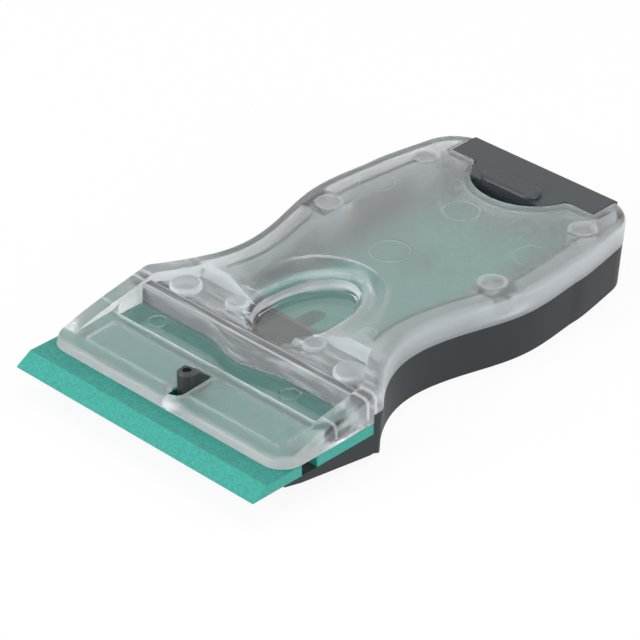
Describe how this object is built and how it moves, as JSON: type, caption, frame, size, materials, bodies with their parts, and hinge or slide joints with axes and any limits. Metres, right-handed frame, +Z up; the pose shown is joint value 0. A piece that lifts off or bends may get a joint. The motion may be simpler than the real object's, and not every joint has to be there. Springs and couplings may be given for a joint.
{
  "type": "hob scraper",
  "caption": "Flat hand scraper for glass hobs with a green plastic blade, a clear waisted cover, a press-to-release blade catch and a slide-out magazine of spare blades",
  "frame": {"origin": "on the table under the middle of the scraper, at half its length", "axes": "X across the blade, Y back along the handle, Z up from the table"},
  "size_m": [0.06, 0.1084, 0.0154],
  "materials": {
    "dark_plastic": "fine matte grain",
    "clear_plastic": "clear, lightly frosted",
    "blade_plastic": "matte"
  },
  "bodies": {
    "housing": {"lower_shell": "dark_plastic", "cover": "clear_plastic", "blade": "blade_plastic"},
    "catch": {"blade_catch": "dark_plastic"},
    "magazine": {"magazine": "dark_plastic", "spare_blade_1": "blade_plastic", "spare_blade_2": "blade_plastic"}
  },
  "joints": [
    {"name": "catch_press", "type": "hinge", "parent": "housing", "child": "catch", "pos_m": [0, -0.02525, 0.0038], "axis": [1, 0, 0], "range_deg": [0, 25], "stiffness_Nm_per_rad": 0.3},
    {"name": "magazine_slide", "type": "slide", "parent": "housing", "child": "magazine", "axis": [0, 1, 0], "range_m": [0, 0.06]}
  ]
}
